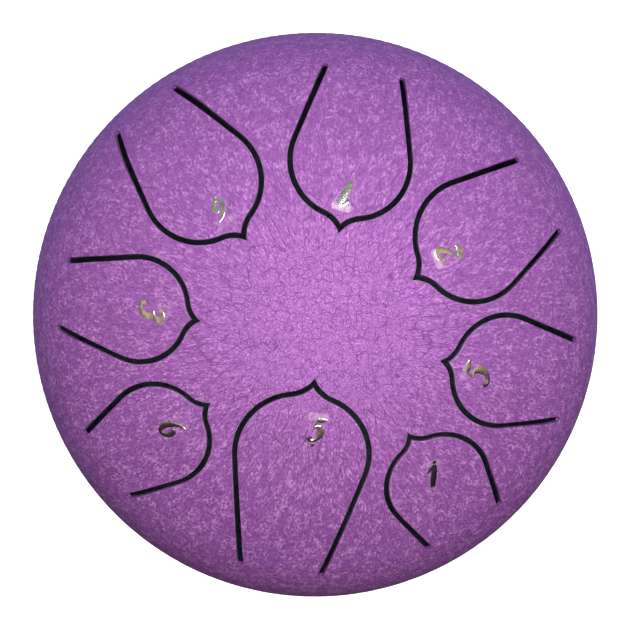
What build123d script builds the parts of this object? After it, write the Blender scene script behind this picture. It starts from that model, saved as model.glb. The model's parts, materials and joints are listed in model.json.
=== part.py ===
from build123d import *
import os
from math import acos, asin, atan2, cos, degrees, radians, sin, sqrt

# Steel tongue drum of the six-inch class: two pressed steel bowls welded rim to rim, the upper one slit
# into eight onion-shaped tongues, with a number sticker on each tongue and three rubber feet below.
# Millimetres, +Z up, origin on the table under the middle of the drum. The longest tongue is at -Y,
# the player's side.

# Bowls
rim_radius = 77.5
dome_height = 44.0
bowl_height = 44.0
shoulder_radius = 30.0
sheet = 1.2
floor_clearance = 3.0
sound_hole_radius = 20.0
edge_break = 0.3

# Weld bead round the rim, in a groove that both bowls share
weld_depth = 0.7
weld_width = 1.8
weld_crown = 0.25

# Tongues: roots in from the rim, points short of the crown, and webs left between the bellies
root_inset = 10.6
crown_clearance = 13.3
web_width = 4.56
flare_width = 12.9
slit_width = 1.4
root_gap = 0.15
belly_circle_share = 0.8
belly_radius_share = 0.93
point_height_share = 1.14
ogee_radius_share = 0.48

# Bearing of each root from +X
tongue_bearing_degrees = {
    "low_5": -99.1, "low_6": 129.1, "1": 80.1, "2": 30.4,
    "3": 173.1, "5": -13.0, "6": -146.6, "high_1": -54.5,
}
# Lean of each tongue's axis from its bearing
tongue_lean_degrees = {
    "low_5": 0.2, "low_6": -0.6, "1": -0.4, "2": 0.6,
    "3": -2.1, "5": 1.6, "6": 0.4, "high_1": -4.3,
}
# Length, width, root width and root circle of each tongue, as shares of the longest one's
tongue_shares = {
    "low_5": (1.0, 1.0, 1.0, 0.984),
    "low_6": (0.784, 0.899, 0.904, 1.081),
    "1": (0.773, 0.901, 0.946, 1.0),
    "2": (0.751, 0.915, 1.01, 0.997),
    "3": (0.672, 0.79, 0.842, 1.008),
    "5": (0.666, 0.853, 1.003, 1.003),
    "6": (0.607, 0.802, 0.95, 1.002),
    "high_1": (0.586, 0.803, 1.017, 0.988),
}

# Clear film stickers that carry the note numbers
sticker_width = 6.2
sticker_height = 9.4
sticker_corner = 0.8
sticker_film = 0.1
sticker_glue = 0.02
# Turn of each number, clockwise from +Y
sticker_turn_degrees = {
    "low_5": 8, "low_6": 145, "1": 197, "2": 248,
    "3": 105, "5": 290, "6": 54, "high_1": -10,
}
# Place of each sticker: along the tongue from its root, as a share of its length,
# and across to the right of its axis, as a share of its half width
sticker_shares = {
    "low_5": (0.742, 0.09),
    "low_6": (0.747, 0.031),
    "1": (0.776, 0.009),
    "2": (0.709, 0.036),
    "3": (0.652, -0.011),
    "5": (0.682, -0.101),
    "6": (0.621, 0.075),
    "high_1": (0.571, 0.008),
}

# Push-in rubber feet
foot_count = 3
foot_bearing_degrees = 90
foot_circle_radius = 38.0
foot_radius = 8.0
foot_flat_depth = 0.6
foot_nose_share = 0.78
foot_hole_radius = 2.5
foot_barb_radius = 3.6
foot_barb_land = 1.0
foot_barb_length = 4.0
foot_tip_radius = 2.0

# Every cut runs past the sheet by this much
overrun = 3.0

seam_z = floor_clearance + bowl_height
shoulder_reach = rim_radius - shoulder_radius

# The longest tongue, measured on the plan over its slit
root_circle_radius = rim_radius - root_inset
root_pitch = 2 * root_circle_radius * sin(radians(180 / len(tongue_shares)))
tongue_length = root_circle_radius - crown_clearance
tongue_width = root_pitch * belly_circle_share - web_width
root_width = tongue_width - flare_width


def cap_radius(height):
    """Radius of the spherical crown that runs into the shoulder of a bowl of this height."""
    return (shoulder_reach**2 + height**2 - shoulder_radius**2) / (2 * (height - shoulder_radius))


def bowl_section(plane, height):
    """Half section of a pressed bowl, with y from the seam to the crown."""
    crown_radius = cap_radius(height)
    crown_centre = (0, height - crown_radius)
    shoulder_centre = (shoulder_reach, 0)
    tangent = degrees(atan2(crown_radius - height, shoulder_reach))
    with BuildSketch(plane) as section:
        with BuildLine():
            CenterArc(crown_centre, crown_radius, tangent, 90 - tangent)
            CenterArc(shoulder_centre, shoulder_radius, 0, tangent)
            Line((rim_radius, 0), (rim_radius - sheet, 0))
            CenterArc(shoulder_centre, shoulder_radius - sheet, 0, tangent)
            CenterArc(crown_centre, crown_radius - sheet, tangent, 90 - tangent)
            Line((0, height - sheet), (0, height))
        make_face()
    return section.sketch


def tongue_plane(note):
    """Plan frame of a tongue: origin at the middle of its root, y along it towards the crown."""
    bearing = tongue_bearing_degrees[note]
    radius = root_circle_radius * tongue_shares[note][3]
    heading = radians(bearing + tongue_lean_degrees[note] + 180)
    root = (radius * cos(radians(bearing)), radius * sin(radians(bearing)), seam_z)
    return Plane(origin=root, x_dir=(sin(heading), -cos(heading), 0), z_dir=(0, 0, 1))


def tongue_outline(note, inset, start):
    """Onion outline of a tongue, moved in by inset and cut straight at its root: flared sides,
    round belly, and hollow curves that meet in a point. The window's own outline, with no inset,
    has a round end at each end of the slit."""
    length_share, width_share, root_share, _ = tongue_shares[note]
    half_width = tongue_width * width_share / 2
    belly_radius = half_width * belly_radius_share
    ogee_radius = half_width * ogee_radius_share
    point = Vector(0, tongue_length * length_share)
    belly = Vector(half_width - belly_radius, point.Y - half_width * point_height_share)
    corner = Vector(root_width * root_share / 2, 0)

    # The hollow circle goes through the point and touches the belly circle from outside
    reach = belly_radius + ogee_radius
    span = point - belly
    along = (span.length**2 + reach**2 - ogee_radius**2) / (2 * span.length)
    aside = sqrt(reach**2 - along**2)
    step = span.normalized()
    ogee = belly + step * along + Vector(step.Y, -step.X) * aside

    # The straight side runs from the root corner and touches the belly circle
    to_corner = corner - belly
    side_angle = degrees(atan2(to_corner.Y, to_corner.X) + acos(belly_radius / to_corner.length))
    normal = Vector(1, 0).rotate(Axis.Z, side_angle)
    flare = Vector(-normal.Y, normal.X)

    side_end = belly + normal * (belly_radius - inset)
    side_start = side_end - flare * ((side_end.Y - start) / flare.Y)
    join = belly + (ogee - belly).normalized() * (belly_radius - inset)
    tip = Vector(0, ogee.Y - sqrt((ogee_radius + inset) ** 2 - ogee.X**2))
    with BuildSketch(tongue_plane(note)) as outline:
        with BuildLine():
            side = Line(side_start, side_end)
            round_belly = TangentArc(side_end, join, tangent=side % 1)
            TangentArc(join, tip, tangent=round_belly % 1)
            mirror(about=Plane.YZ)
            Line(side_start, (-side_start.X, side_start.Y))
        make_face()
        if inset == 0:
            end = side_start - normal * (slit_width / 2)
            with Locations(end, (-end.X, end.Y)):
                Circle(slit_width / 2)
    return outline.sketch


def cap_plane(x, y, turn, height, centre_z, side):
    """Frame standing on a bowl's crown at x, y; side is 1 on the dome and -1 below, turn is clockwise."""
    rise = sqrt(cap_radius(height) ** 2 - x**2 - y**2)
    normal = Vector(x, y, side * rise)
    right = Vector(cos(radians(turn)), -sin(radians(turn)), 0)
    return Plane(origin=(x, y, centre_z + side * rise), x_dir=right, z_dir=normal)


dome_section = bowl_section(Plane((0, 0, seam_z), x_dir=(1, 0, 0), z_dir=(0, -1, 0)), dome_height)
base_section = bowl_section(Plane((0, 0, seam_z), x_dir=(1, 0, 0), z_dir=(0, 1, 0)), bowl_height)
dome_centre_z = seam_z + dome_height - cap_radius(dome_height)
base_centre_z = floor_clearance + cap_radius(bowl_height)
pieces = []

# Weld bead
with BuildPart() as rim_weld:
    with BuildSketch(Plane((0, 0, seam_z), x_dir=(1, 0, 0), z_dir=(0, -1, 0))):
        with BuildLine():
            upper_toe = (rim_radius, weld_width / 2)
            lower_toe = (rim_radius, -weld_width / 2)
            Polyline(upper_toe, (rim_radius - weld_depth, 0), lower_toe)
            ThreePointArc(upper_toe, (rim_radius + weld_crown, 0), lower_toe)
        make_face()
    revolve(axis=Axis.Z)
rim_weld.part.label = "rim_weld"
pieces.append(rim_weld)

# Upper bowl with its eight tongue windows
with BuildPart() as top_shell:
    revolve(dome_section, axis=Axis.Z)
    add(rim_weld.part, mode=Mode.SUBTRACT)
    for note in tongue_shares:
        extrude(tongue_outline(note, 0, 0), amount=dome_height + overrun, mode=Mode.SUBTRACT)
top_shell.part.label = "top_shell"
pieces.append(top_shell)

# Tongues, each cut from the same sheet inside its slit
for note in tongue_shares:
    outline = tongue_outline(note, slit_width, root_gap)
    with BuildPart() as tongue:
        revolve(dome_section, axis=Axis.Z)
        extrude(outline, amount=dome_height + overrun, mode=Mode.INTERSECT)
    tongue.part.label = f"tongue_{note}"
    pieces.append(tongue)

# Number stickers
for note in tongue_shares:
    along_share, across_share = sticker_shares[note]
    length_share, width_share, _, _ = tongue_shares[note]
    across = tongue_width * width_share / 2 * across_share
    along = tongue_length * length_share * along_share
    spot = tongue_plane(note).from_local_coords(Vector(across, along))
    with BuildPart() as sticker:
        turn = sticker_turn_degrees[note]
        with BuildSketch(cap_plane(spot.X, spot.Y, turn, dome_height, dome_centre_z, 1)):
            RectangleRounded(sticker_width, sticker_height, sticker_corner)
        extrude(amount=sheet, both=True)
        bed_radius = cap_radius(dome_height) + sticker_glue
        with Locations((0, 0, dome_centre_z)):
            Sphere(bed_radius + sticker_film, mode=Mode.INTERSECT)
            Sphere(bed_radius, mode=Mode.SUBTRACT)
    sticker.part.label = f"sticker_{note}"
    pieces.append(sticker)

# Where the feet stand on the lower bowl
foot_planes = []
for index in range(foot_count):
    bearing = foot_bearing_degrees + index * 360 / foot_count
    foot_x = foot_circle_radius * cos(radians(bearing))
    foot_y = foot_circle_radius * sin(radians(bearing))
    foot_planes.append(cap_plane(foot_x, foot_y, 0, bowl_height, base_centre_z, -1))

# Lower bowl with its sound hole and foot holes
with BuildPart() as bottom_shell:
    revolve(base_section, axis=Axis.Z)
    add(rim_weld.part, mode=Mode.SUBTRACT)
    with BuildSketch(Plane.XY):
        Circle(sound_hole_radius)
    extrude(amount=bowl_height, mode=Mode.SUBTRACT)
    hole_edges = bottom_shell.edges().filter_by(GeomType.CIRCLE)
    fillet([edge for edge in hole_edges if abs(edge.radius - sound_hole_radius) < edge_break], edge_break)
    for plane in foot_planes:
        with BuildSketch(plane):
            Circle(foot_hole_radius)
        extrude(amount=overrun, both=True, mode=Mode.SUBTRACT)
bottom_shell.part.label = "bottom_shell"
pieces.append(bottom_shell)

# Feet: a round nose with a flat where it stands, and a barb that holds it in the sheet
foot_tilt = asin(foot_circle_radius / cap_radius(bowl_height))
for index, plane in enumerate(foot_planes):
    drop = foot_radius + (plane.origin.Z + foot_flat_depth - foot_radius) / cos(foot_tilt)
    nose_y = drop * (1 - foot_nose_share)
    barb_y = -sheet - foot_barb_land
    tip_y = -sheet - foot_barb_length
    with BuildPart() as foot:
        with BuildSketch(Plane(plane.origin, x_dir=plane.x_dir, z_dir=plane.x_dir.cross(plane.z_dir))):
            with BuildLine():
                TangentArc((0, drop), (foot_radius, nose_y), tangent=(1, 0))
                Polyline(
                    (foot_radius, nose_y),
                    (foot_radius, -sheet / 2),
                    (foot_barb_radius, -sheet / 2),
                    (foot_barb_radius, barb_y),
                    (foot_tip_radius, tip_y),
                    (0, tip_y),
                    (0, drop),
                )
            make_face()
        revolve(axis=Axis(plane.origin, plane.z_dir))
        add(bottom_shell.part, mode=Mode.SUBTRACT)
        split(bisect_by=Plane.XY, keep=Keep.TOP)
    foot.part.label = f"foot_{index + 1}"
    pieces.append(foot)

os.makedirs("parts", exist_ok=True)
for piece in pieces:
    export_step(piece.part, f"parts/{piece.part.label}.step")
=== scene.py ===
import json
from math import acos, asin, atan2, ceil, cos, floor, hypot, pi, radians, sin, sqrt

import bmesh
import bpy
import numpy as np
from bmesh.types import BMEdge, BMFace, BMVert
from bpy.props import FloatProperty, FloatVectorProperty, PointerProperty
from mathutils import Matrix, Vector


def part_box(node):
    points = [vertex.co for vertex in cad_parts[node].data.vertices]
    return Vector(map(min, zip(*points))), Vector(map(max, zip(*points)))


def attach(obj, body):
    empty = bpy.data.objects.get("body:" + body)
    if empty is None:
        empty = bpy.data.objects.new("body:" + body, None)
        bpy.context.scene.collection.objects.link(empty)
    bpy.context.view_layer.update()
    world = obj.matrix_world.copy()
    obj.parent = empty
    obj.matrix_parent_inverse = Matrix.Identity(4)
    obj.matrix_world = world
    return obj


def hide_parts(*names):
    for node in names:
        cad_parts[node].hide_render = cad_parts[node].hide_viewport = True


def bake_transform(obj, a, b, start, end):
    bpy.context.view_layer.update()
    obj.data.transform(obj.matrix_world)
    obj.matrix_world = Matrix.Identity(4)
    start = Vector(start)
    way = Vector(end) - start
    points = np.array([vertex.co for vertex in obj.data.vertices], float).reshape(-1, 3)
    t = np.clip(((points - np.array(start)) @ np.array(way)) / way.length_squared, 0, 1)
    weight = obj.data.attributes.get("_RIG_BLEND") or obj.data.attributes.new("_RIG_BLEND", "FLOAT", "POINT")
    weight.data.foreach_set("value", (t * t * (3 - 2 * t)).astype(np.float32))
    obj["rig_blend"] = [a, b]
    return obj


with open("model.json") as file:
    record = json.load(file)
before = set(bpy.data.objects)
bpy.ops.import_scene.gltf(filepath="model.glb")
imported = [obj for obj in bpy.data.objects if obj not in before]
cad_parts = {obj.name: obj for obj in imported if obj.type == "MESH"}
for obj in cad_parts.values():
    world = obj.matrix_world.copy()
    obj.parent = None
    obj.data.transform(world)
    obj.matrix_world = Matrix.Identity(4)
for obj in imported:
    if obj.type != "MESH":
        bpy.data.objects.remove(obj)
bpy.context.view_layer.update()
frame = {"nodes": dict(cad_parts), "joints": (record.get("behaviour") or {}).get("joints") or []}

bl_info = {
    "name": "Steel Tongue Drum",
    "version": (1, 0, 0),
    "blender": (4, 5, 0),
    "location": "View3D > Sidebar > Drum",
    "description": "Dresses the packed tongue drum in its paint, number stickers and rubber feet",
    "category": "Object",
}

SEAM_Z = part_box("top_shell")[0].z
CROWN_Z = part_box("top_shell")[1].z
HINGES = {joint["child"]: joint for joint in frame["joints"]}
UP = Vector((0, 0, 1))
SNAP = 1e-6

# Kinds of edge that are told apart while the sheet is shaped
SLIT, ROOT, RIM = 1, 2, 3

# The tongue outline: belly radius, height of the point over the belly's centre and radius of
# the hollow below the point, as shares of the tongue's half width
BELLY_SHARE = 0.93
POINT_SHARE = 1.14
HOLLOW_SHARE = 0.48

# Steps round arcs and circles
RIM_STEPS = 240
SLIT_END_STEPS, BELLY_STEPS, HOLLOW_STEPS = 12, 28, 14
SHOULDER_STEPS, CROWN_STEPS, HOLE_EDGE_STEPS = 20, 24, 10
WELD_STEPS, WELD_FACE_STEPS = 720, 8
FILM_CORNER_STEPS, STROKE_STEPS, DOT_STEPS = 4, 10, 20

# Angles over which an edge between faces is shaded as sharp
CREASE = radians(50)
FOIL_CREASE = radians(15)

# Each tongue's number, the turn of its sticker clockwise from +Y in degrees, the number's height
# as a share of the usual one, how far film and number lie off the middle of the CAD sticker, and
# how far the film's end has come up, as a share of its largest lift
NUMBERS = {
    "low_5": ("5", 8, 0.9, (0.0010, 0.0003), 0.45),
    "low_6": ("6", 145, 0.78, (0.0001, -0.0001), 0.15),
    "1": ("1", 197, 1.06, (0.0002, 0.0007), 1.0),
    "2": ("2", 248, 1.0, (0.0, 0.0), 0.6),
    "3": ("3", 105, 1.0, (-0.0002, 0.0), 0.08),
    "5": ("5", 290, 1.08, (-0.0007, -0.0002), 0.25),
    "6": ("6", 54, 0.93, (-0.0007, 0.0006), 0.08),
    "high_1": ("1", -10, 0.95, (0.0002, -0.0006), 0.15),
}
# Octave dots: where each sits over or under the number, as shares of its height
DOT_SHARES = {"low_5": (0.06, -0.63), "low_6": (0.0, -0.62), "high_1": (0.0, 0.58)}

# Pen strokes of the numbers: x, y and half width of the pen, as shares of the number's height
STROKE_SHARES = {
    "1": [
        [(0.0, 0.47, 0.06), (0.01, 0.25, 0.085), (0.0, -0.2, 0.085), (0.0, -0.46, 0.07)],
        [(0.0, 0.47, 0.05), (-0.11, 0.36, 0.055), (-0.2, 0.26, 0.04), (-0.27, 0.17, 0.012)],
    ],
    "2": [
        [(-0.19, 0.2, 0.075), (-0.19, 0.36, 0.04), (0.0, 0.47, 0.05), (0.2, 0.3, 0.095),
         (0.1, 0.04, 0.06), (-0.12, -0.22, 0.028), (-0.27, -0.42, 0.02)],
        [(-0.28, -0.42, 0.02), (-0.14, -0.37, 0.07), (0.06, -0.43, 0.09), (0.25, -0.37, 0.04),
         (0.3, -0.27, 0.012)],
    ],
    "3": [
        [(-0.19, 0.27, 0.08), (-0.14, 0.42, 0.045), (0.05, 0.46, 0.06), (0.17, 0.3, 0.09),
         (0.08, 0.11, 0.05), (-0.06, 0.05, 0.02)],
        [(-0.06, 0.05, 0.02), (0.13, 0.0, 0.06), (0.21, -0.22, 0.095), (0.06, -0.45, 0.055),
         (-0.14, -0.43, 0.05), (-0.2, -0.29, 0.08)],
    ],
    "5": [
        [(-0.09, 0.43, 0.06), (0.08, 0.43, 0.075), (0.28, 0.46, 0.03)],
        [(-0.1, 0.44, 0.03), (-0.15, 0.1, 0.022)],
        [(-0.15, 0.1, 0.022), (0.04, 0.14, 0.06), (0.2, -0.1, 0.1), (0.07, -0.42, 0.055),
         (-0.12, -0.45, 0.045), (-0.19, -0.32, 0.085)],
    ],
    "6": [
        [(0.25, 0.49, 0.014), (0.02, 0.37, 0.055), (-0.17, 0.06, 0.09), (-0.18, -0.24, 0.08),
         (-0.03, -0.44, 0.05), (0.15, -0.35, 0.07), (0.21, -0.15, 0.085),
         (0.14, 0.03, 0.07), (0.05, 0.07, 0.03)],
    ],
}
# Radius of an octave dot, as a share of the number's height
DOT_SHARE = 0.08


class DrumSizes(bpy.types.PropertyGroup):
    """Sizes of the drum that its looks follow"""

    rim_radius: FloatProperty(
        name="Rim radius", description="Outer radius of both bowls at the seam",
        default=0.0775, unit="LENGTH")
    dome_height: FloatProperty(
        name="Dome height", description="Height of the upper bowl over the seam",
        default=CROWN_Z - SEAM_Z, unit="LENGTH")
    bowl_height: FloatProperty(
        name="Bowl depth", description="Depth of the lower bowl under the seam",
        default=0.044, unit="LENGTH")
    shoulder_radius: FloatProperty(
        name="Shoulder radius",
        description="Radius of the round shoulder above and below the seam",
        default=0.03, unit="LENGTH")
    sheet: FloatProperty(
        name="Sheet", description="Thickness of the pressed steel",
        default=0.0012, unit="LENGTH")
    slit_width: FloatProperty(
        name="Slit width", description="Width of the cut round each tongue",
        default=0.0014, unit="LENGTH")
    slit_run_on: FloatProperty(
        name="Slit run-on", description="How far a slit's end shows beyond the hinge line",
        default=0.0006, unit="LENGTH")
    lip_radius: FloatProperty(
        name="Lip radius", description="Rounding of the painted edges along a slit",
        default=0.00024, unit="LENGTH")
    net_pitch: FloatProperty(
        name="Net pitch", description="Spacing of the net that lets the sheet bend",
        default=0.003, unit="LENGTH")
    sound_hole_radius: FloatProperty(
        name="Sound hole radius", description="Radius of the air port in the lower bowl",
        default=0.02, unit="LENGTH")
    weld_width: FloatProperty(
        name="Weld width", description="Width of the bead round the rim",
        default=0.0018, unit="LENGTH")
    weld_crown: FloatProperty(
        name="Weld crown", description="How far the bead stands out of the rim",
        default=0.00025, unit="LENGTH")
    number_height: FloatProperty(
        name="Number height", description="Height of a note number",
        default=0.0073, unit="LENGTH")
    number_slant: FloatProperty(
        name="Number slant", description="Lean of the numbers to the right",
        default=radians(11), subtype="ANGLE")
    pen_gain: FloatProperty(
        name="Pen gain", description="How much broader the number's strokes are than drawn",
        default=1.3, subtype="FACTOR")
    pen_least: FloatProperty(
        name="Pen least",
        description="Half width of the thinnest stroke, as a share of a number's height",
        default=0.034, subtype="FACTOR")
    foil_top: FloatProperty(
        name="Foil top",
        description="Height at which strokes are pressed flat, as a share of a number's height",
        default=0.036, subtype="FACTOR")
    foil_relief: FloatProperty(
        name="Foil relief",
        description="How much of a stroke's roundness is left in the foil, as a share",
        default=0.2, subtype="FACTOR")
    film_width: FloatProperty(
        name="Film width", description="Width of a sticker's clear film",
        default=0.0053, unit="LENGTH")
    film_height: FloatProperty(
        name="Film height", description="Height of a sticker's clear film",
        default=0.0094, unit="LENGTH")
    film_corner: FloatProperty(
        name="Film corner", description="Corner radius of the film",
        default=0.0008, unit="LENGTH")
    film: FloatProperty(
        name="Film", description="Thickness of the film and its glue",
        default=0.00012, unit="LENGTH")
    film_lift: FloatProperty(
        name="Film lift", description="How far the loosest film end has come up",
        default=0.00035, unit="LENGTH")


class DrumFinish(bpy.types.PropertyGroup):
    """Colours and finishes of the drum and its stage"""

    paint: FloatVectorProperty(
        name="Paint", description="Body colour of the wrinkle paint",
        default=(0.3, 0.096, 0.375), subtype="COLOR")
    # The deep and pale colours are partly random tone and partly painted shade in the wrinkles' hollows and
    # painted highlight on their crests
    paint_deep: FloatVectorProperty(
        name="Paint, deep", description="Colour in the hollows of the wrinkles",
        default=(0.19, 0.053, 0.26), subtype="COLOR")
    paint_pale: FloatVectorProperty(
        name="Paint, pale", description="Colour of the raised flecks",
        default=(0.57, 0.27, 0.62), subtype="COLOR")
    # Partly thin, worn paint and partly a painted highlight on the lips of the slits
    worn_edge_and_highlight: FloatVectorProperty(
        name="Worn edge and highlight", description="Colour where the paint is thin along a slit",
        default=(0.5, 0.43, 0.54), subtype="COLOR")
    steel: FloatVectorProperty(
        name="Raw steel", description="Colour of the unpainted inside",
        default=(0.16, 0.19, 0.25), subtype="COLOR")
    foil: FloatVectorProperty(
        name="Foil", description="Colour of the number foil",
        default=(0.62, 0.6, 0.54), subtype="COLOR")
    film: FloatVectorProperty(
        name="Film", description="Veil of the clear film",
        default=(0.92, 0.6, 0.88), subtype="COLOR")
    rubber: FloatVectorProperty(
        name="Rubber", description="Colour of the feet",
        default=(0.02, 0.02, 0.021), subtype="COLOR")
    floor: FloatVectorProperty(
        name="Floor", description="Colour of the floor",
        default=(0.92, 0.92, 0.92), subtype="COLOR")


class Bowl:
    """A pressed bowl: a spherical crown that runs into a round shoulder at the rim.
    Distances along the sheet are measured from the middle of the crown."""

    def __init__(self, sizes, height):
        self.shoulder = sizes.shoulder_radius
        self.reach = sizes.rim_radius - self.shoulder
        rise = height - self.shoulder
        self.crown = (self.reach**2 + height**2 - self.shoulder**2) / (2 * rise)
        self.centre_z = height - self.crown
        self.turn = asin(self.reach / (self.crown - self.shoulder))
        self.crown_run = self.crown * self.turn
        self.run = self.crown_run + self.shoulder * (pi / 2 - self.turn)

    def distance(self, radius):
        """Distance along the sheet to a radius on the plan."""
        if radius < self.crown * sin(self.turn):
            return self.crown * asin(radius / self.crown)
        slope = asin(min(1, (radius - self.reach) / self.shoulder))
        return self.crown_run + self.shoulder * (slope - self.turn)

    def place(self, distance):
        """Plan radius, height over the seam and slope at a distance along the sheet."""
        if distance < self.crown_run:
            slope = distance / self.crown
            return self.crown * sin(slope), self.centre_z + self.crown * cos(slope), slope
        slope = self.turn + (distance - self.crown_run) / self.shoulder
        return self.reach + self.shoulder * sin(slope), self.shoulder * cos(slope), slope


class TongueOutline:
    """One tongue's outline on the plan, measured on its CAD node and drawn as lines and arcs.
    Its own x runs across the tongue and y along it, from the hinge line to the point."""

    def __init__(self, body, sizes):
        hinge = HINGES[body]
        self.slit = sizes.slit_width
        self.root = Vector((*hinge["pos_m"][:2], 0))
        self.across = Vector(hinge["axis"]).normalized()
        self.along = UP.cross(self.across)
        points = [vert.co - self.root for vert in frame["nodes"][body].data.vertices]
        sides = [(abs(point.dot(self.across)), point.dot(self.along)) for point in points]
        self.tip = max(along for _, along in sides)
        half_width = max(across for across, _ in sides) + self.slit
        root_line = min(along for _, along in sides)
        at_root = [across for across, along in sides if along < root_line + SNAP * 10]
        corner = Vector((max(at_root), root_line))

        self.belly_radius = half_width * BELLY_SHARE
        self.hollow_radius = half_width * HOLLOW_SHARE
        # The hollow circle goes through the point and touches the belly circle from outside
        belly = Vector((half_width - self.belly_radius, -half_width * POINT_SHARE))
        reach = self.belly_radius + self.hollow_radius
        span = belly.length
        part = (span**2 + reach**2 - self.hollow_radius**2) / (2 * span)
        step = -belly / span
        aside = Vector((step.y, -step.x))
        hollow = belly + step * part + aside * sqrt(reach**2 - part**2)
        # The CAD tongue ends at the inner edge of the slit
        inner_hollow = self.hollow_radius + self.slit
        point_y = self.tip - hollow.y + sqrt(inner_hollow**2 - hollow.x**2)
        self.belly = belly + Vector((0, point_y))
        self.hollow = hollow + Vector((0, point_y))
        # The straight side runs from the root corner and touches the belly circle
        inner_belly = self.belly_radius - self.slit
        to_corner = corner - self.belly
        angle = atan2(to_corner.y, to_corner.x) + acos(inner_belly / to_corner.length)
        self.normal = Vector((cos(angle), sin(angle)))
        self.flare = Vector((-self.normal.y, self.normal.x))
        side = self.belly + self.normal * self.belly_radius
        root_corner = side - self.flare * (side.y / self.flare.y)
        self.slit_root = root_corner - self.normal * (self.slit / 2)
        self.slit_end = self.slit_root - self.flare * sizes.slit_run_on

    def plan(self, point):
        """A point of the outline, on the drum's plan."""
        return self.root + self.across * point.x + self.along * point.y

    def draw(self, bm, inset, round_the_slit):
        """Draws the closed outline, moved in by inset, and returns its vertices. The outline of
        the window also goes round both ends of the slit."""
        kind = bm.edges.layers.int["kind"]
        before = set(bm.verts)
        neck = self.slit_root - self.normal * (self.slit / 2) + self.flare * self.slit
        gap = -inset if round_the_slit else inset - self.slit
        pen = Pen(bm, neck - self.normal * gap)
        if round_the_slit:
            pen.line(self.slit_end - self.normal * (self.slit / 2 + gap))
            pen.arc(self.slit_end, pi, SLIT_END_STEPS)
        belly_radius = self.belly_radius - inset
        pen.line(self.belly + self.normal * belly_radius)
        to_hollow = self.hollow - self.belly
        turn = atan2(to_hollow.y, to_hollow.x) - atan2(self.normal.y, self.normal.x)
        pen.arc(self.belly, turn, BELLY_STEPS)
        hollow_radius = self.hollow_radius + inset
        tip = Vector((0, self.hollow.y - sqrt(hollow_radius**2 - self.hollow.x**2)))
        from_join, to_tip = -to_hollow, tip - self.hollow
        turn = atan2(to_tip.y, to_tip.x) - atan2(from_join.y, from_join.x)
        pen.arc(self.hollow, turn, HOLLOW_STEPS)

        half = [vert for vert in bm.verts if vert not in before]
        edges = {edge for vert in half for edge in vert.link_edges}
        for edge in edges:
            edge[kind] = SLIT
        bmesh.ops.mirror(bm, geom=half + list(edges), matrix=Matrix(), merge_dist=SNAP, axis="X")
        loop = [vert for vert in bm.verts if vert not in before]
        ends = [vert for vert in loop if len(vert.link_edges) == 1]
        bm.edges.new(ends)[kind] = ROOT
        for vert in loop:
            vert.co = self.plan(vert.co)
        return loop


class Pen:
    """Draws a chain of edges: extruded lines and spun arcs."""

    def __init__(self, bm, start):
        self.bm = bm
        self.tip = bm.verts.new((start.x, start.y, 0))

    def line(self, end):
        new = bmesh.ops.extrude_vert_indiv(self.bm, verts=[self.tip])["verts"][0]
        new.co = (end.x, end.y, 0)
        self.tip = new

    def arc(self, centre, angle, steps):
        spun = bmesh.ops.spin(
            self.bm, geom=[self.tip], cent=(centre.x, centre.y, 0), axis=UP, dvec=(0, 0, 0),
            angle=angle, steps=steps, use_merge=False, use_duplicate=False)
        self.tip = only(BMVert, spun["geom_last"])[0]


def only(kind, parts):
    """The parts of a bmesh that are of one kind."""
    return [part for part in parts if isinstance(part, kind)]


# What the shaping of a sheet notes on its vertices: its pressed place, the way out of the sheet,
# the way into the slit and the normal that it is shaded with
NOTES = "base", "face_up", "into_slit", "shade_normal"


def notes(bm, *names):
    return [bm.verts.layers.float_vector[name] for name in names]


def new_sheet():
    """A bmesh with room for the notes that the sheet's shaping keeps."""
    bm = bmesh.new()
    bm.edges.layers.int.new("kind")
    for name in NOTES:
        bm.verts.layers.float_vector.new(name)
    bm.verts.layers.float.new("edge_wear_and_painted_light")
    return bm


def lay_flat(loop, bowl):
    """Moves an outline from the plan to the sheet as it lies when unrolled."""
    for vert in loop:
        radius = hypot(vert.co.x, vert.co.y)
        vert.co *= bowl.distance(radius) / radius


def cut_net(bm, pitch):
    """Cuts flat faces along a square net, so that they can bend."""
    for axis in (Vector((1, 0, 0)), Vector((0, 1, 0))):
        reach = [vert.co.dot(axis) for vert in bm.verts]
        for line in range(ceil(min(reach) / pitch), floor(max(reach) / pitch) + 1):
            bmesh.ops.bisect_plane(
                bm, geom=bm.verts[:] + bm.edges[:] + bm.faces[:], dist=SNAP,
                plane_co=axis * (line * pitch), plane_no=axis)


def press(bm, bowl):
    """Presses the flat net over the bowl and notes the sheet's own normals."""
    base, face_up, shade = notes(bm, "base", "face_up", "shade_normal")
    for vert in bm.verts:
        distance = hypot(vert.co.x, vert.co.y)
        outward = Vector((vert.co.x, vert.co.y, 0)) / max(distance, SNAP)
        radius, height, slope = bowl.place(distance)
        vert.co = outward * radius + UP * (SEAM_Z + height)
        vert[base] = vert.co
        vert[face_up] = vert[shade] = outward * sin(slope) + UP * cos(slope)


# Least cosine between a corner's middle line and its sides, so that no mitre runs far out
LEAST_MITRE = 0.4


def find_slit_sides(bm):
    """Notes the way into the slit at each vertex of a slit's edge, and returns those edges."""
    kind = bm.edges.layers.int["kind"]
    face_up, into_slit = notes(bm, "face_up", "into_slit")
    edges = [edge for edge in bm.edges if edge.is_boundary and edge[kind] == SLIT]
    ways = {}
    for edge in edges:
        first, second = edge.verts
        way = (second.co - first.co).cross(first[face_up]).normalized()
        if way.dot(edge.link_faces[0].calc_center_median() - first.co) > 0:
            way.negate()
        for vert in edge.verts:
            ways.setdefault(vert, []).append(way)
    for vert, sides in ways.items():
        middle = sum(sides, Vector()).normalized()
        vert[into_slit] = middle / max(LEAST_MITRE, middle.dot(sides[0]))
    return edges


# How far the lip has turned over at each of its steps
LIP_ANGLES = [radians(angle) for angle in (22.5, 45, 67.5, 90)]


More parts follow.
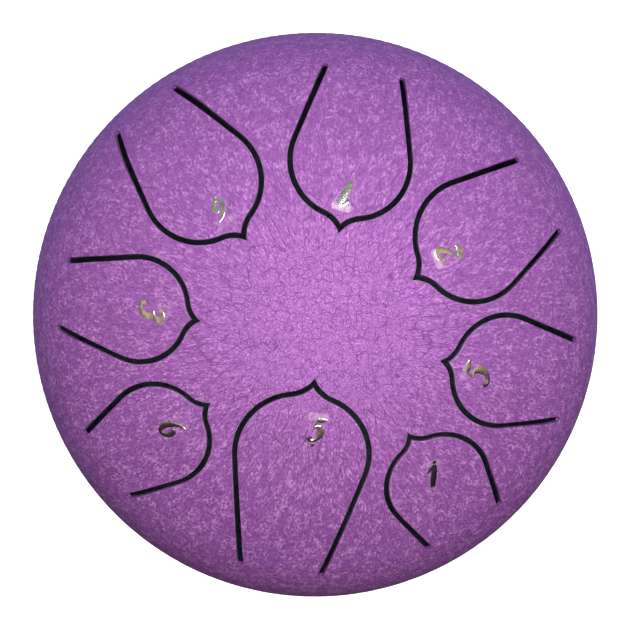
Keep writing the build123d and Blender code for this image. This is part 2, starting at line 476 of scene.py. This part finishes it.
def roll_lips(bm, edges, lip, sheet):
    """Rolls the edges of the slits over into a round lip, down the cut and round to the back."""
    base, face_up, into_slit, shade = notes(bm, *NOTES)
    lip_wear_and_painted_light = bm.verts.layers.float["edge_wear_and_painted_light"]
    front = [(angle, lip * (1 - cos(angle))) for angle in LIP_ANGLES]
    back = [(pi - angle, sheet - depth) for angle, depth in reversed(front)]
    for angle, depth in front + back + [(pi, sheet)]:
        new = bmesh.ops.extrude_edge_only(bm, edges=edges)["geom"]
        verts = set(only(BMVert, new))
        edges = [edge for edge in only(BMEdge, new) if verts.issuperset(edge.verts)]
        for vert in verts:
            inward = vert[into_slit].normalized()
            vert.co = vert[base] + vert[into_slit] * (lip * sin(angle)) - vert[face_up] * depth
            vert[shade] = (vert[face_up] * cos(angle) + inward * sin(angle)).normalized()
            # Marks the lip for its worn paint, its painted highlight and the painted shade in the slits'
            # ends
            vert[lip_wear_and_painted_light] = sin(angle) if depth < sheet / 2 else 0


def add_back(bm, sheet):
    """Doubles the pressed face into the back of the sheet."""
    face_up, shade = notes(bm, "face_up", "shade_normal")
    copied = bmesh.ops.duplicate(bm, geom=bm.verts[:] + bm.edges[:] + bm.faces[:])["geom"]
    faces = only(BMFace, copied)
    for vert in only(BMVert, copied):
        vert.co -= vert[face_up] * sheet
        vert[shade] = -vert[face_up]
    bmesh.ops.reverse_faces(bm, faces=faces)
    for face in faces:
        face.material_index = 1


def close_sheet(bm):
    """Joins front and back at the rim and closes the hidden joint at each tongue's root."""
    kind = bm.edges.layers.int["kind"]
    bmesh.ops.remove_doubles(bm, verts=bm.verts[:], dist=SNAP)
    rims = [edge for edge in bm.edges if edge.is_boundary and edge[kind] == RIM]
    if rims:
        bmesh.ops.bridge_loops(bm, edges=rims)
    bmesh.ops.holes_fill(bm, edges=[edge for edge in bm.edges if edge.is_boundary], sides=0)


def shape_sheet(bm, bowl, sizes):
    """Turns flat outlines into a pressed, slit sheet with its thickness."""
    bmesh.ops.triangle_fill(bm, use_beauty=True, use_dissolve=False, edges=bm.edges[:])
    cut_net(bm, sizes.net_pitch)
    bmesh.ops.reverse_faces(bm, faces=[face for face in bm.faces if face.normal.z < 0])
    press(bm, bowl)
    slits = find_slit_sides(bm)
    add_back(bm, sizes.sheet)
    roll_lips(bm, slits, sizes.lip_radius, sizes.sheet)
    close_sheet(bm)


def spin_round(bm, steps):
    """Spins a profile right round the drum's axis."""
    bmesh.ops.spin(
        bm, geom=bm.verts[:] + bm.edges[:], cent=(0, 0, 0), axis=UP, dvec=(0, 0, 0),
        angle=2 * pi, steps=steps, use_merge=True, use_duplicate=False)
    bmesh.ops.remove_doubles(bm, verts=bm.verts[:], dist=SNAP)


def close_round(bm):
    """Joins the two open edges of a spun profile and turns its faces outward."""
    bmesh.ops.bridge_loops(bm, edges=[edge for edge in bm.edges if edge.is_boundary])
    bmesh.ops.recalc_face_normals(bm, faces=bm.faces[:])


def make_piece(name, bm, *materials, crease=None):
    """Makes the object of a finished mesh, at the origin."""
    mesh = bpy.data.meshes.new(name)
    bm.to_mesh(mesh)
    bm.free()
    for material in materials:
        mesh.materials.append(material)
    mesh.shade_smooth()
    shade = mesh.attributes.get("shade_normal")
    if shade:
        normals = np.zeros(len(mesh.vertices) * 3, np.float32)
        shade.data.foreach_get("vector", normals)
        mesh.normals_split_custom_set_from_vertices(normals.reshape(-1, 3))
    if crease:
        mesh.set_sharp_from_angle(angle=crease)
    for note in (*NOTES, "kind"):
        if note in mesh.attributes:
            mesh.attributes.remove(mesh.attributes[note])
    piece = bpy.data.objects.new(name, mesh)
    bpy.context.scene.collection.objects.link(piece)
    return piece


# Materials

class Shading:
    """Adds nodes to a node tree, and sets or links their inputs."""

    def __init__(self, tree):
        self.tree = tree

    def fill(self, node, inputs):
        """Links each input to a socket or sets its value. A colour is given as three numbers."""
        for key, value in inputs.items():
            socket = node.inputs[key]
            if isinstance(value, bpy.types.NodeSocket):
                self.tree.links.new(value, socket)
            elif socket.type == "RGBA":
                socket.default_value = (*value, 1.0)
            else:
                socket.default_value = value

    def node(self, kind, inputs=None, **settings):
        node = self.tree.nodes.new("ShaderNode" + kind)
        for key, value in settings.items():
            setattr(node, key, value)
        self.fill(node, inputs or {})
        return node

    def place(self):
        """The place on the object."""
        return self.node("TexCoord").outputs["Object"]

    def attribute(self, name):
        return self.node("Attribute", attribute_name=name).outputs["Fac"]

    def calc(self, operation, first, second=0.0):
        return self.node("Math", {0: first, 1: second}, operation=operation).outputs[0]

    def plus(self, first, second):
        return self.calc("ADD", first, second)

    def minus(self, first, second):
        return self.calc("SUBTRACT", first, second)

    def times(self, first, second):
        return self.calc("MULTIPLY", first, second)

    def largest(self, first, second):
        return self.calc("MAXIMUM", first, second)

    def vector(self, operation, first, second):
        return self.node("VectorMath", {0: first, 1: second}, operation=operation).outputs[0]

    def length(self, vector):
        return self.node("VectorMath", {0: vector}, operation="LENGTH").outputs["Value"]

    def split(self, vector):
        """A vector's X, Y and Z."""
        return self.node("SeparateXYZ", {0: vector}).outputs

    def join(self, x, y, z=0.0):
        return self.node("CombineXYZ", {"X": x, "Y": y, "Z": z}).outputs[0]

    def remap(self, value, low, high, to_low=0.0, to_high=1.0):
        """Runs softly from to_low, at low and under it, to to_high, at high and over it."""
        inputs = {
            "Value": value, "From Min": low, "From Max": high, "To Min": to_low, "To Max": to_high}
        return self.node("MapRange", inputs, interpolation_type="SMOOTHSTEP").outputs[0]

    def mix(self, factor, first, second):
        """Runs from the first colour to the second."""
        return self.node("Mix", {0: factor, 6: first, 7: second}, data_type="RGBA").outputs[2]

    def bump(self, height, strength, distance):
        inputs = {"Height": height, "Strength": strength, "Distance": distance}
        return self.node("Bump", inputs).outputs[0]

    def noise(self, place, scale, detail=2.0, roughness=0.5, output="Fac"):
        inputs = {"Vector": place, "Scale": scale, "Detail": detail, "Roughness": roughness}
        return self.node("TexNoise", inputs).outputs[output]

    def ridge(self, pattern, width):
        """1 where a noise crosses its middle, 0 where it is the given width off."""
        off_middle = self.calc("ABSOLUTE", self.minus(pattern, MIDDLE))
        return self.remap(off_middle, 0.0, width, 1.0, 0.0)

    def sway(self, place, scale, reach):
        """Shifts a pattern's place by a soft noise, so that its lines wander."""
        wander = self.noise(place, scale, output="Color")
        centred = self.vector("SUBTRACT", wander, (MIDDLE,) * 3)
        return self.vector("ADD", place, self.vector("MULTIPLY", centred, (reach,) * 3))

    def crack_net(self, place, scale, width):
        """1 on the lines between cells, 0 at the given share of a cell away from them."""
        cells = self.node(
            "TexVoronoi", {"Vector": place, "Scale": scale}, feature="DISTANCE_TO_EDGE").outputs[0]
        return self.remap(cells, 0.0, width, 1.0, 0.0)


def shaded(colour, share):
    """A colour made darker, or paler where the share is over 1."""
    return [channel * share for channel in colour]


# The middle value of a noise
MIDDLE = 0.5

# Fineness of the paint's patterns, per metre
GRIT_SCALE = 3300
FOLD_SCALE = 1350
CLUSTER_SCALE = 950
CRACK_SCALE, FINE_CRACK_SCALE = 410, 800
CREASE_SCALE = 540
RIDGE_SCALE = 1500
BREAK_SCALE, GLINT_SCALE, WEAR_AND_HIGHLIGHT_SCALE = 420, 800, 380
HAIR_SCALE_ROUND, HAIR_SCALE_UP = 9, 1900

# Plan radii between which the paint's patterns come and go, from the crown to the rim
CROWN_ENDS = 0.018, 0.045
CRACKS_END = 0.026, 0.052
CREASES_START = 0.034, 0.054
WEAR_AND_HIGHLIGHT_ENDS = 0.045, 0.06
HAIRS_START = 0.045, 0.07
END_SHADE_STARTS = 0.061, 0.066

# The folds are drawn out from this radius on, by this power of the radius
PULL_START = 0.022
PULL_POWER = -0.66
PULL_UPRIGHT = 0.6

# The tone at which the paint shows its body colour, from 0 for deep to 1 for pale
BODY_TONE = 0.45


def wrinkle_paint(add, finish):
    """Baked wrinkle paint: fine worm-like folds in pale clusters, painted paler on their crests and
    darker in their hollows as painted highlight and shade, hairline cracks on the crown with painted
    glints between them, hair scratches round the shoulder, thin worn edges that also carry a painted
    highlight, and painted shade in the ends of the slits."""
    place = add.place()
    x, y, z = add.split(place)
    radius = add.length(add.vector("MULTIPLY", place, (1, 1, 0)))
    away = add.remap(radius, *CROWN_ENDS)

    def strength(on_crown, off_crown):
        """A pattern's strength, which changes from the crown outwards."""
        return add.remap(away, 0, 1, on_crown, off_crown)

    # The patterns are drawn out from the middle to the rim, as the sheet was when it was pressed
    pulled = add.calc("DIVIDE", add.largest(radius, PULL_START), PULL_START)
    draw_in = add.calc("POWER", pulled, PULL_POWER)
    combed = add.vector("MULTIPLY", place, add.join(draw_in, draw_in, PULL_UPRIGHT))
    grit = add.noise(combed, GRIT_SCALE, roughness=0.65)
    folds = add.noise(add.sway(combed, 560, 0.0005), FOLD_SCALE, 3.0, 0.65)
    worms = add.ridge(folds, 0.05)
    clusters = add.remap(add.noise(combed, CLUSTER_SCALE, roughness=0.6), 0.38, 0.64)
    # Two nets of broken hairline cracks, clear on the crown, and a third of creases round it
    broken = add.remap(add.noise(place, BREAK_SCALE), 0.36, 0.54, 0.35, 1.0)
    ragged = add.sway(combed, 1100, 0.0005)
    fine = add.times(add.crack_net(ragged, FINE_CRACK_SCALE, 0.078), 0.6)
    cracks = add.largest(add.crack_net(ragged, CRACK_SCALE, 0.047), fine)
    cracks = add.times(cracks, add.remap(radius, *CRACKS_END, 1.0, 0.1))
    creases = add.crack_net(add.sway(place, 1100, 0.0004), CREASE_SCALE, 0.1)
    creases = add.times(creases, add.remap(radius, *CREASES_START, 0.0, 0.45))
    cracks = add.times(add.largest(cracks, creases), broken)
    # Painted glints: short bright highlights between the cracks
    ridges = add.ridge(add.noise(add.sway(combed, 900, 0.0003), RIDGE_SCALE, 1.0), 0.03)
    glints = add.times(ridges, add.remap(add.noise(place, GLINT_SCALE, 1.0), 0.45, 0.6))

    # Off the crown the specks gather in clusters, with smoother paint between them
    gather = add.plus(1.0, add.times(away, add.minus(add.times(clusters, 0.8), 0.4)))
    # Each pattern raises the tone where it is over its own level, and lowers it elsewhere. The folds
    #     # and worms also raise the bump, so their crests are painted paler and their hollows darker:
    #     # painted highlight and painted shade. The grit and clusters vary the tone at random
    tone = 0.0
    for pattern, level, gain in (
            (grit, MIDDLE, add.times(gather, 1.85)),
            (folds, MIDDLE, strength(0.12, 0.55)),
            (worms, 0.4, strength(0.06, 0.16)),
            (clusters, 0.45, strength(0.01, 0.22)),
            (glints, 0.0, strength(0.4, 0.12))):
        tone = add.plus(tone, add.times(add.minus(pattern, level), gain))
    # The wrinkles' tone swings wider towards -Y, the player's side, and less towards +Y
    tone = add.times(tone, add.remap(y, -0.06, 0.06, 1.17, 0.84))
    ramp = add.node("ValToRGB", {"Fac": add.plus(tone, BODY_TONE)})
    stops = ramp.color_ramp.elements
    stops[0].color = (*finish.paint_deep, 1.0)
    stops[1].color = (*finish.paint_pale, 1.0)
    stops.new(BODY_TONE).color = (*finish.paint, 1.0)
    dark = shaded(finish.paint_deep, 0.55)
    colour = add.mix(add.times(cracks, 0.8), ramp.outputs["Color"], dark)

    # Hair scratches run round the shoulder
    bearing = add.calc("ARCTAN2", y, x)
    unrolled = add.join(add.times(bearing, HAIR_SCALE_ROUND), add.times(z, HAIR_SCALE_UP))
    hairs = add.remap(add.noise(unrolled, 1.0, roughness=0.6), 0.62, 0.74)
    hairs = add.times(hairs, add.remap(radius, *HAIRS_START))
    colour = add.mix(add.times(hairs, 0.5), colour, finish.paint_pale)
    # The paint is thin and worn in patches along the slits, and is painted paler there also as a
    #     # painted edge highlight
    edge = add.attribute("edge_wear_and_painted_light")
    wear_and_highlight = add.times(edge, add.remap(add.noise(place, WEAR_AND_HIGHLIGHT_SCALE), 0.35, 0.6, 0.35, 1.0))
    wear_and_highlight = add.times(wear_and_highlight, add.remap(radius, *WEAR_AND_HIGHLIGHT_ENDS, 1.0, 0.1))
    colour = add.mix(add.times(wear_and_highlight, 0.45), colour, finish.worn_edge_and_highlight)
    # Painted shade: the lips are darkened towards the ends of the slits
    painted_end_shade = add.times(edge, add.remap(radius, *END_SHADE_STARTS, 0.0, 0.8))
    colour = add.mix(painted_end_shade, colour, dark)

    raised = add.times(add.plus(add.times(worms, 0.3), folds), strength(0.4, 1.0))
    height = add.minus(raised, add.times(cracks, 0.5))
    return {
        "Base Color": colour,
        "Normal": add.bump(height, 0.7, 0.00012),
        "Roughness": add.remap(folds, 0.3, 0.7, 0.7, 0.58),
        "Metallic": 0.38,
        "IOR": 1.6,
        "Specular IOR Level": 0.6,
        "Specular Tint": (1.0, 0.56, 0.88),
    }


def raw_steel(add, finish):
    """The unpainted inside, dulled by the oven."""
    blotches = add.noise(add.place(), 60, 3.0, 0.6)
    pale = add.remap(blotches, 0.3, 0.7)
    return {
        "Base Color": add.mix(pale, shaded(finish.steel, 0.6), finish.steel),
        "Roughness": add.remap(blotches, 0.3, 0.7, 0.75, 0.55),
        "Metallic": 0.4,
    }


def number_foil(add, finish):
    """Bright metal foil with a fine glitter and a few dull patches."""
    place = add.place()
    glitter = add.noise(place, 2600, 1.0)
    patches = add.noise(place, 500, 1.0)
    bright = add.remap(patches, 0.35, 0.6)
    return {
        "Base Color": add.mix(bright, shaded(finish.foil, 0.62), finish.foil),
        "Normal": add.bump(glitter, 0.5, 0.00006),
        "Roughness": add.remap(patches, 0.3, 0.7, 0.2, 0.13),
        "Metallic": 1.0,
    }


def clear_film(add, finish):
    """Clear film: a faint veil, whiter where an end has come up and traps air."""
    streaks = add.noise(add.place(), 900, 3.0, 0.65)
    air = add.times(add.attribute("film_lift"), add.remap(streaks, 0.3, 0.6, 0.16, 0.44))
    return {
        "Base Color": finish.film,
        "Alpha": add.plus(add.remap(streaks, 0.4, 0.7, 0.0, 0.04), air),
        "Roughness": add.remap(streaks, 0.3, 0.7, 0.3, 0.45),
    }


def foot_rubber(add, finish):
    """Moulded rubber with a fine dusty grain."""
    place = add.place()
    grain = add.noise(place, 2200)
    dust = add.noise(place, 180, 3.0, 0.6)
    dusty = add.remap(dust, 0.4, 0.75)
    return {
        "Base Color": add.mix(dusty, finish.rubber, shaded(finish.rubber, 2.4)),
        "Normal": add.bump(grain, 0.3, 0.00008),
        "Roughness": add.remap(dust, 0.3, 0.7, 0.55, 0.75),
    }


def pale_floor(add, finish):
    """A plain pale floor, lit from within, with a painted shadow where the drum covers it."""
    return {
        "Base Color": finish.floor,
        "Roughness": 0.9,
        "Specular IOR Level": 0.1,
        "Emission Color": finish.floor,
        # Painted shadow: the glow is dimmed under the drum
        "Emission Strength": add.remap(add.length(add.place()), 0.02, 0.08, 0.12, 0.7),
    }


# Each material's full name, and the function that gives the inputs of its shader
MATERIALS = {
    "paint": ("purple_wrinkle_paint", wrinkle_paint),
    "steel": ("raw_steel_inside", raw_steel),
    "foil": ("number_foil", number_foil),
    "film": ("clear_film", clear_film),
    "rubber": ("foot_rubber_grain", foot_rubber),
    "floor": ("pale_floor", pale_floor),
}
made = {}


def material_of(key):
    """The material of that key, made once."""
    if key not in made:
        name, look = MATERIALS[key]
        material = made[key] = bpy.data.materials.new(name)
        material.use_nodes = True
        material.node_tree.nodes.clear()
        add = Shading(material.node_tree)
        shader = add.node("BsdfPrincipled", look(add, bpy.context.scene.drum_finish))
        add.node("OutputMaterial", {"Surface": shader.outputs[0]})
    return made[key]


# Pieces

class DRUM_OT_top_shell(bpy.types.Operator):
    """Press the upper bowl and cut its eight slits"""

    bl_idname = "drum.top_shell"
    bl_label = "Top Shell"

    def execute(self, context):
        sizes = context.scene.drum_sizes
        bowl = Bowl(sizes, sizes.dome_height)
        bm = new_sheet()
        kind = bm.edges.layers.int["kind"]
        bmesh.ops.create_circle(bm, segments=RIM_STEPS, radius=bowl.run)
        for edge in bm.edges:
            edge[kind] = RIM
        for body in HINGES:
            lay_flat(TongueOutline(body, sizes).draw(bm, -sizes.lip_radius, True), bowl)
        shape_sheet(bm, bowl, sizes)
        piece = make_piece("painted_top_shell", bm, material_of("paint"), material_of("steel"))
        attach(piece, "drum")
        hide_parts("top_shell")
        return {"FINISHED"}


class DRUM_OT_tongues(bpy.types.Operator):
    """Cut the eight tongues from the same sheet and let each bend at its root"""

    bl_idname = "drum.tongues"
    bl_label = "Tongues"

    def execute(self, context):
        sizes = context.scene.drum_sizes
        bowl = Bowl(sizes, sizes.dome_height)
        for body in HINGES:
            outline = TongueOutline(body, sizes)
            bm = new_sheet()
            lay_flat(outline.draw(bm, sizes.slit_width + sizes.lip_radius, False), bowl)
            shape_sheet(bm, bowl, sizes)
            piece = make_piece(f"painted_{body}", bm, material_of("paint"), material_of("steel"))
            start = Vector(HINGES[body]["pos_m"]) + outline.along * (2 * sizes.slit_width)
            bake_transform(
                piece, "drum", body, start=start, end=start + outline.along * (outline.tip / 3))
            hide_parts(body)
        return {"FINISHED"}


# Faces that look inwards by more than this are bare steel
INSIDE_FACING = -0.2


class DRUM_OT_bottom_shell(bpy.types.Operator):
    """Spin the lower bowl with the rolled edge of its sound hole"""

    bl_idname = "drum.bottom_shell"
    bl_label = "Bottom Shell"

    def execute(self, context):
        sizes = context.scene.drum_sizes
        bowl = Bowl(sizes, sizes.bowl_height)
        hole = bowl.distance(sizes.sound_hole_radius + sizes.sheet / 2) / bowl.crown
        bm = bmesh.new()
        # The profile goes down the outside from the rim, round the edge of the hole and back up
        shoulder, crown = Vector((bowl.reach, 0)), Vector((0, -bowl.centre_z))
        pen = Pen(bm, Vector((sizes.rim_radius, 0)))
        pen.arc(shoulder, bowl.turn - pi / 2, SHOULDER_STEPS)
        pen.arc(crown, hole - bowl.turn, CROWN_STEPS)
        edge = crown + Vector((sin(hole), -cos(hole))) * (bowl.crown - sizes.sheet / 2)
        pen.arc(edge, -pi, HOLE_EDGE_STEPS)
        pen.arc(crown, bowl.turn - hole, CROWN_STEPS)
        pen.arc(shoulder, pi / 2 - bowl.turn, SHOULDER_STEPS)
        upright = Matrix.Rotation(pi / 2, 3, "X")
        bmesh.ops.rotate(bm, cent=(0, 0, 0), matrix=upright, verts=bm.verts[:])
        bmesh.ops.translate(bm, vec=(0, 0, SEAM_Z), verts=bm.verts[:])
        spin_round(bm, RIM_STEPS)
        close_round(bm)
        for face in bm.faces:
            outward = (face.calc_center_median() - UP * SEAM_Z).normalized()
            if face.normal.dot(outward) < INSIDE_FACING:
                face.material_index = 1
        piece = make_piece(
            "painted_bottom_shell", bm, material_of("paint"), material_of("steel"), crease=CREASE)
        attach(piece, "drum")
        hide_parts("bottom_shell")
        return {"FINISHED"}


# Ripples round the weld, and their depth as a share of its crown
WELD_RIPPLES = 180
RIPPLE_SHARE = 0.35


class DRUM_OT_rim_weld(bpy.types.Operator):
    """Run the rippled weld bead round the rim"""

    bl_idname = "drum.rim_weld"
    bl_label = "Rim Weld"

    def execute(self, context):
        sizes = context.scene.drum_sizes
        bm = bmesh.new()
        half = sizes.weld_width / 2
        # The bead's face is an arc through both toes and the crown
        radius = (half**2 + sizes.weld_crown**2) / (2 * sizes.weld_crown)
        reach = asin(half / radius)
        centre = Vector((sizes.rim_radius + sizes.weld_crown - radius, 0, SEAM_Z))
        start = bm.verts.new(centre + Vector((cos(reach), 0, sin(reach))) * radius)
        bmesh.ops.spin(
            bm, geom=[start], cent=centre, axis=(0, 1, 0), dvec=(0, 0, 0), angle=2 * reach,
            steps=WELD_FACE_STEPS, use_merge=False, use_duplicate=False)
        spin_round(bm, WELD_STEPS)
        for vert in bm.verts:
            angle = atan2(vert.co.y, vert.co.x)
            proud = hypot(vert.co.x, vert.co.y) - sizes.rim_radius
            wave = (0.5 + 0.5 * cos(WELD_RIPPLES * angle)) ** 2
            vert.co -= Vector((cos(angle), sin(angle), 0)) * max(0, RIPPLE_SHARE * proud * wave)
        close_round(bm)
        piece = make_piece("painted_rim_weld", bm, material_of("paint"), crease=CREASE)
        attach(piece, "drum")
        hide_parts("rim_weld")
        return {"FINISHED"}


class DRUM_OT_feet(bpy.types.Operator):
    """Give the three push-in feet their rubber"""

    bl_idname = "drum.feet"
    bl_label = "Feet"

    def execute(self, context):
        for name, node in frame["nodes"].items():
            if name.startswith("foot_"):
                node.material_slots[0].material = material_of("rubber")
        return {"FINISHED"}


def sticker_frame(note, sizes, shift):
    """The dome's centre and radius, and a sticker's right, up and outward directions on it."""
    low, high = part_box(f"sticker_{note}")
    bowl = Bowl(sizes, sizes.dome_height)
    centre = Vector((0, 0, SEAM_Z + bowl.centre_z))
    middle = (low + high) / 2 + Vector((*shift, 0))
    middle.z = centre.z + sqrt(bowl.crown**2 - middle.x**2 - middle.y**2)
    normal = (middle - centre).normalized()
    turn = radians(NUMBERS[note][1])
    right = Vector((cos(turn), -sin(turn), 0))
    right = (right - normal * right.dot(normal)).normalized()
    return centre, bowl.crown, Matrix((right, normal.cross(right), normal)).transposed()


def seat_on_dome(bm, note, sizes, shift):
    """Wraps a flat shape, whose z is its height over the paint, on the dome at its note's place."""
    centre, radius, turn = sticker_frame(note, sizes, shift)
    for vert in bm.verts:
        height = vert.co.z
        way = (turn @ Vector((vert.co.x, vert.co.y, radius))).normalized()
        vert.co = centre + way * (radius + height)


# Cells across a film, so that it can bend, and the film's share of its thickness with the glue
FILM_CELLS = 12
FILM_SHARE = 0.7
# The share of a film's height that can come loose, and how fast trapped air veils it there
LOOSE_SHARE = 0.24
VEIL_GAIN = 3


class DRUM_OT_stickers(bpy.types.Operator):
    """Lay the clear film of the eight number stickers"""

    bl_idname = "drum.stickers"
    bl_label = "Sticker Films"

    def execute(self, context):
        sizes = context.scene.drum_sizes
        for note, (*_, shift, lift_share) in NUMBERS.items():
            bm = bmesh.new()
            lifted = bm.verts.layers.float.new("film_lift")
            bmesh.ops.create_grid(bm, x_segments=1, y_segments=1, size=0.5)
            flat_size = (sizes.film_width, sizes.film_height, 1)
            bmesh.ops.scale(bm, vec=flat_size, verts=bm.verts[:])
            bmesh.ops.bevel(
                bm, geom=bm.verts[:], affect="VERTICES", offset=sizes.film_corner,
                segments=FILM_CORNER_STEPS, profile=0.5, material=-1)
            cut_net(bm, sizes.film_width / FILM_CELLS)
            bmesh.ops.solidify(bm, geom=bm.faces[:], thickness=sizes.film * FILM_SHARE)
            bmesh.ops.recalc_face_normals(bm, faces=bm.faces[:])
            top = max(vert.co.z for vert in bm.verts)
            loose = sizes.film_height * LOOSE_SHARE
            for vert in bm.verts:
                share = max(0.0, (vert.co.y - sizes.film_height / 2 + loose) / loose)
                vert[lifted] = lift_share * min(1.0, VEIL_GAIN * share)
                vert.co.z += sizes.film - top + sizes.film_lift * lift_share * share * share
            seat_on_dome(bm, note, sizes, shift)
            piece = make_piece(f"film_{note}", bm, material_of("film"), crease=CREASE)
            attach(piece, f"tongue_{note}")
            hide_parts(f"sticker_{note}")
        return {"FINISHED"}


class DRUM_OT_numbers(bpy.types.Operator):
    """Draw the foil note numbers with a broad pen"""

    bl_idname = "drum.numbers"
    bl_label = "Foil Numbers"

    def execute(self, context):
        sizes = context.scene.drum_sizes
        for note, (number, _, height_share, shift, _) in NUMBERS.items():
            bm = bmesh.new()
            bm.from_mesh(self.stroke_mesh(STROKE_SHARES[number], sizes))
            if note in DOT_SHARES:
                bmesh.ops.create_uvsphere(
                    bm, u_segments=DOT_STEPS, v_segments=DOT_STEPS // 2, radius=DOT_SHARE,
                    matrix=Matrix.Translation((*DOT_SHARES[note], 0)))
            scale = sizes.number_height * height_share
            for vert in bm.verts:
                x, y, z = vert.co
                pressed = min(max(z, -sizes.foil_top), sizes.foil_top)
                vert.co = ((x + y * sin(sizes.number_slant)) * scale, y * scale,
                           sizes.film + pressed * scale * sizes.foil_relief)
            seat_on_dome(bm, note, sizes, shift)
            piece = make_piece(f"number_{note}", bm, material_of("foil"), crease=FOIL_CREASE)
            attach(piece, f"tongue_{note}")
        return {"FINISHED"}

    @staticmethod
    def stroke_mesh(strokes, sizes):
        """The strokes as a mesh of round-nibbed lines."""
        curve = bpy.data.curves.new("strokes", "CURVE")
        curve.dimensions = "3D"
        curve.bevel_depth = 1.0
        curve.bevel_resolution = 1
        curve.resolution_u = STROKE_STEPS
        curve.use_fill_caps = True
        for stroke in strokes:
            spline = curve.splines.new("BEZIER")
            spline.bezier_points.add(len(stroke) - 1)
            spline.radius_interpolation = "CARDINAL"
            for point, (x, y, half) in zip(spline.bezier_points, stroke):
                point.co = (x, y, 0)
                point.radius = max(half * sizes.pen_gain, sizes.pen_least)
                point.handle_left_type = point.handle_right_type = "AUTO"
        holder = bpy.data.objects.new("strokes", curve)
        mesh = bpy.data.meshes.new_from_object(holder)
        bpy.data.objects.remove(holder)
        bpy.data.curves.remove(curve)
        return mesh


# Stage

FLOOR_SIZE = 3

CAMERA_PLACE = Vector((-0.0241, 0.0523, 0.6442))
CAMERA_LENS = 124.5
CAMERA_SENSOR = 36
CAMERA_SHIFT = (-0.0022, 0.0032)
CAMERA_NEAREST = 0.01

# Soft round lights: place, size, power in watts and colour. They all look at the same place
SOFTBOXES = {
    "overhead_softbox": ((0.07, 0.1, 1.05), 0.8, 13.3, (0.95, 0.98, 1)),
    "far_softbox": ((-0.35, 1.1, 0.75), 1.3, 0.4, (0.75, 0.9, 1)),
}
LIT_PLACE = (0, 0, 0.06)

# Colours of the room on the player's side and on the far side, and of the player
BELOW = (0.022, 0.027, 0.038), (0.35, 0.44, 0.64)
HORIZON = (0.006, 0.009, 0.014), (0.28, 0.38, 0.46)
WALLS = (0.75, 0.62, 0.4), (0.3, 0.39, 0.33)
PLAYER = (0.045, 0.045, 0.06)


class DRUM_OT_stage(bpy.types.Operator):
    """Set the pale floor, the soft studio light and the camera over the drum"""

    bl_idname = "drum.stage"
    bl_label = "Stage"

    def execute(self, context):
        scene = context.scene
        bm = bmesh.new()
        bmesh.ops.create_grid(bm, x_segments=1, y_segments=1, size=FLOOR_SIZE)
        floor_piece = make_piece("floor", bm, material_of("floor"))
        # The floor is lit from within, as a light table is, but throws no light on the drum
        floor_piece.visible_diffuse = floor_piece.visible_glossy = False
        floor_piece.visible_shadow = False

        for name, light in SOFTBOXES.items():
            self.soft_light(name, *light)
        scene.world = self.studio_world()
        scene.view_settings.view_transform = "Standard"

        camera = bpy.data.cameras.new("camera")
        camera.lens = CAMERA_LENS
        camera.sensor_width = CAMERA_SENSOR
        camera.shift_x, camera.shift_y = CAMERA_SHIFT
        camera.clip_start = CAMERA_NEAREST
        holder = bpy.data.objects.new("camera", camera)
        away = (CAMERA_PLACE - Vector((0, 0, SEAM_Z))).normalized()
        right = Vector((0, 1, 0)).cross(away).normalized()
        holder.matrix_world = Matrix.Translation(CAMERA_PLACE) @ Matrix(
            (right, away.cross(right), away)).transposed().to_4x4()
        scene.collection.objects.link(holder)
        scene.camera = holder
        return {"FINISHED"}

    @staticmethod
    def studio_world():
        """A dim room: warm walls high up, blue near the horizon, paler from below, and dark where
        the player is."""
        world = bpy.data.worlds.new("studio")
        world.use_nodes = True
        add = Shading(world.node_tree)
        _, y, z = add.split(add.node("TexCoord").outputs["Generated"])
        below = add.mix(add.remap(y, -0.6, 0.1), *BELOW)
        horizon = add.mix(add.remap(y, -0.4, 0.5), *HORIZON)
        walls = add.mix(add.remap(y, 0.15, 0.55), *WALLS)
        past_player = add.remap(add.plus(y, add.times(z, 0.9)), 0.08, 0.5)
        walls = add.mix(past_player, PLAYER, walls)
        upper = add.mix(add.remap(z, 0.3, 0.6), horizon, walls)
        room = add.mix(add.remap(z, -0.15, 0.15), below, upper)
        add.fill(world.node_tree.nodes["Background"], {"Color": room})
        return world

    @staticmethod
    def soft_light(name, place, size, power, colour):
        light = bpy.data.lights.new(name, "AREA")
        light.shape = "DISK"
        light.size = size
        light.energy = power
        light.color = colour
        holder = bpy.data.objects.new(name, light)
        holder.location = place
        way = Vector(LIT_PLACE) - Vector(place)
        holder.rotation_euler = way.to_track_quat("-Z", "Y").to_euler()
        bpy.context.scene.collection.objects.link(holder)


class DRUM_PT_sidebar(bpy.types.Panel):
    """Sizes, finishes and pieces of the drum"""

    bl_label = "Steel Tongue Drum"
    bl_idname = "DRUM_PT_sidebar"
    bl_space_type = "VIEW_3D"
    bl_region_type = "UI"
    bl_category = "Drum"

    def draw(self, context):
        layout = self.layout
        for group in (context.scene.drum_sizes, context.scene.drum_finish):
            column = layout.column()
            for name in group.__annotations__:
                column.prop(group, name)
        for operator in OPERATORS:
            layout.operator(operator.bl_idname)


GROUPS = (DrumSizes, DrumFinish)
OPERATORS = (
    DRUM_OT_top_shell, DRUM_OT_tongues, DRUM_OT_bottom_shell, DRUM_OT_rim_weld, DRUM_OT_feet,
    DRUM_OT_stickers, DRUM_OT_numbers, DRUM_OT_stage,
)
CLASSES = (*GROUPS, *OPERATORS, DRUM_PT_sidebar)


def register():
    for item in CLASSES:
        bpy.utils.register_class(item)
    bpy.types.Scene.drum_sizes = PointerProperty(type=DrumSizes)
    bpy.types.Scene.drum_finish = PointerProperty(type=DrumFinish)


def unregister():
    del bpy.types.Scene.drum_finish
    del bpy.types.Scene.drum_sizes
    for item in reversed(CLASSES):
        bpy.utils.unregister_class(item)


def main():
    register()
    bpy.ops.drum.top_shell()
    bpy.ops.drum.tongues()
    bpy.ops.drum.bottom_shell()
    bpy.ops.drum.rim_weld()
    bpy.ops.drum.feet()
    bpy.ops.drum.stickers()
    bpy.ops.drum.numbers()
    bpy.ops.drum.stage()


if __name__ == "__main__":
    main()
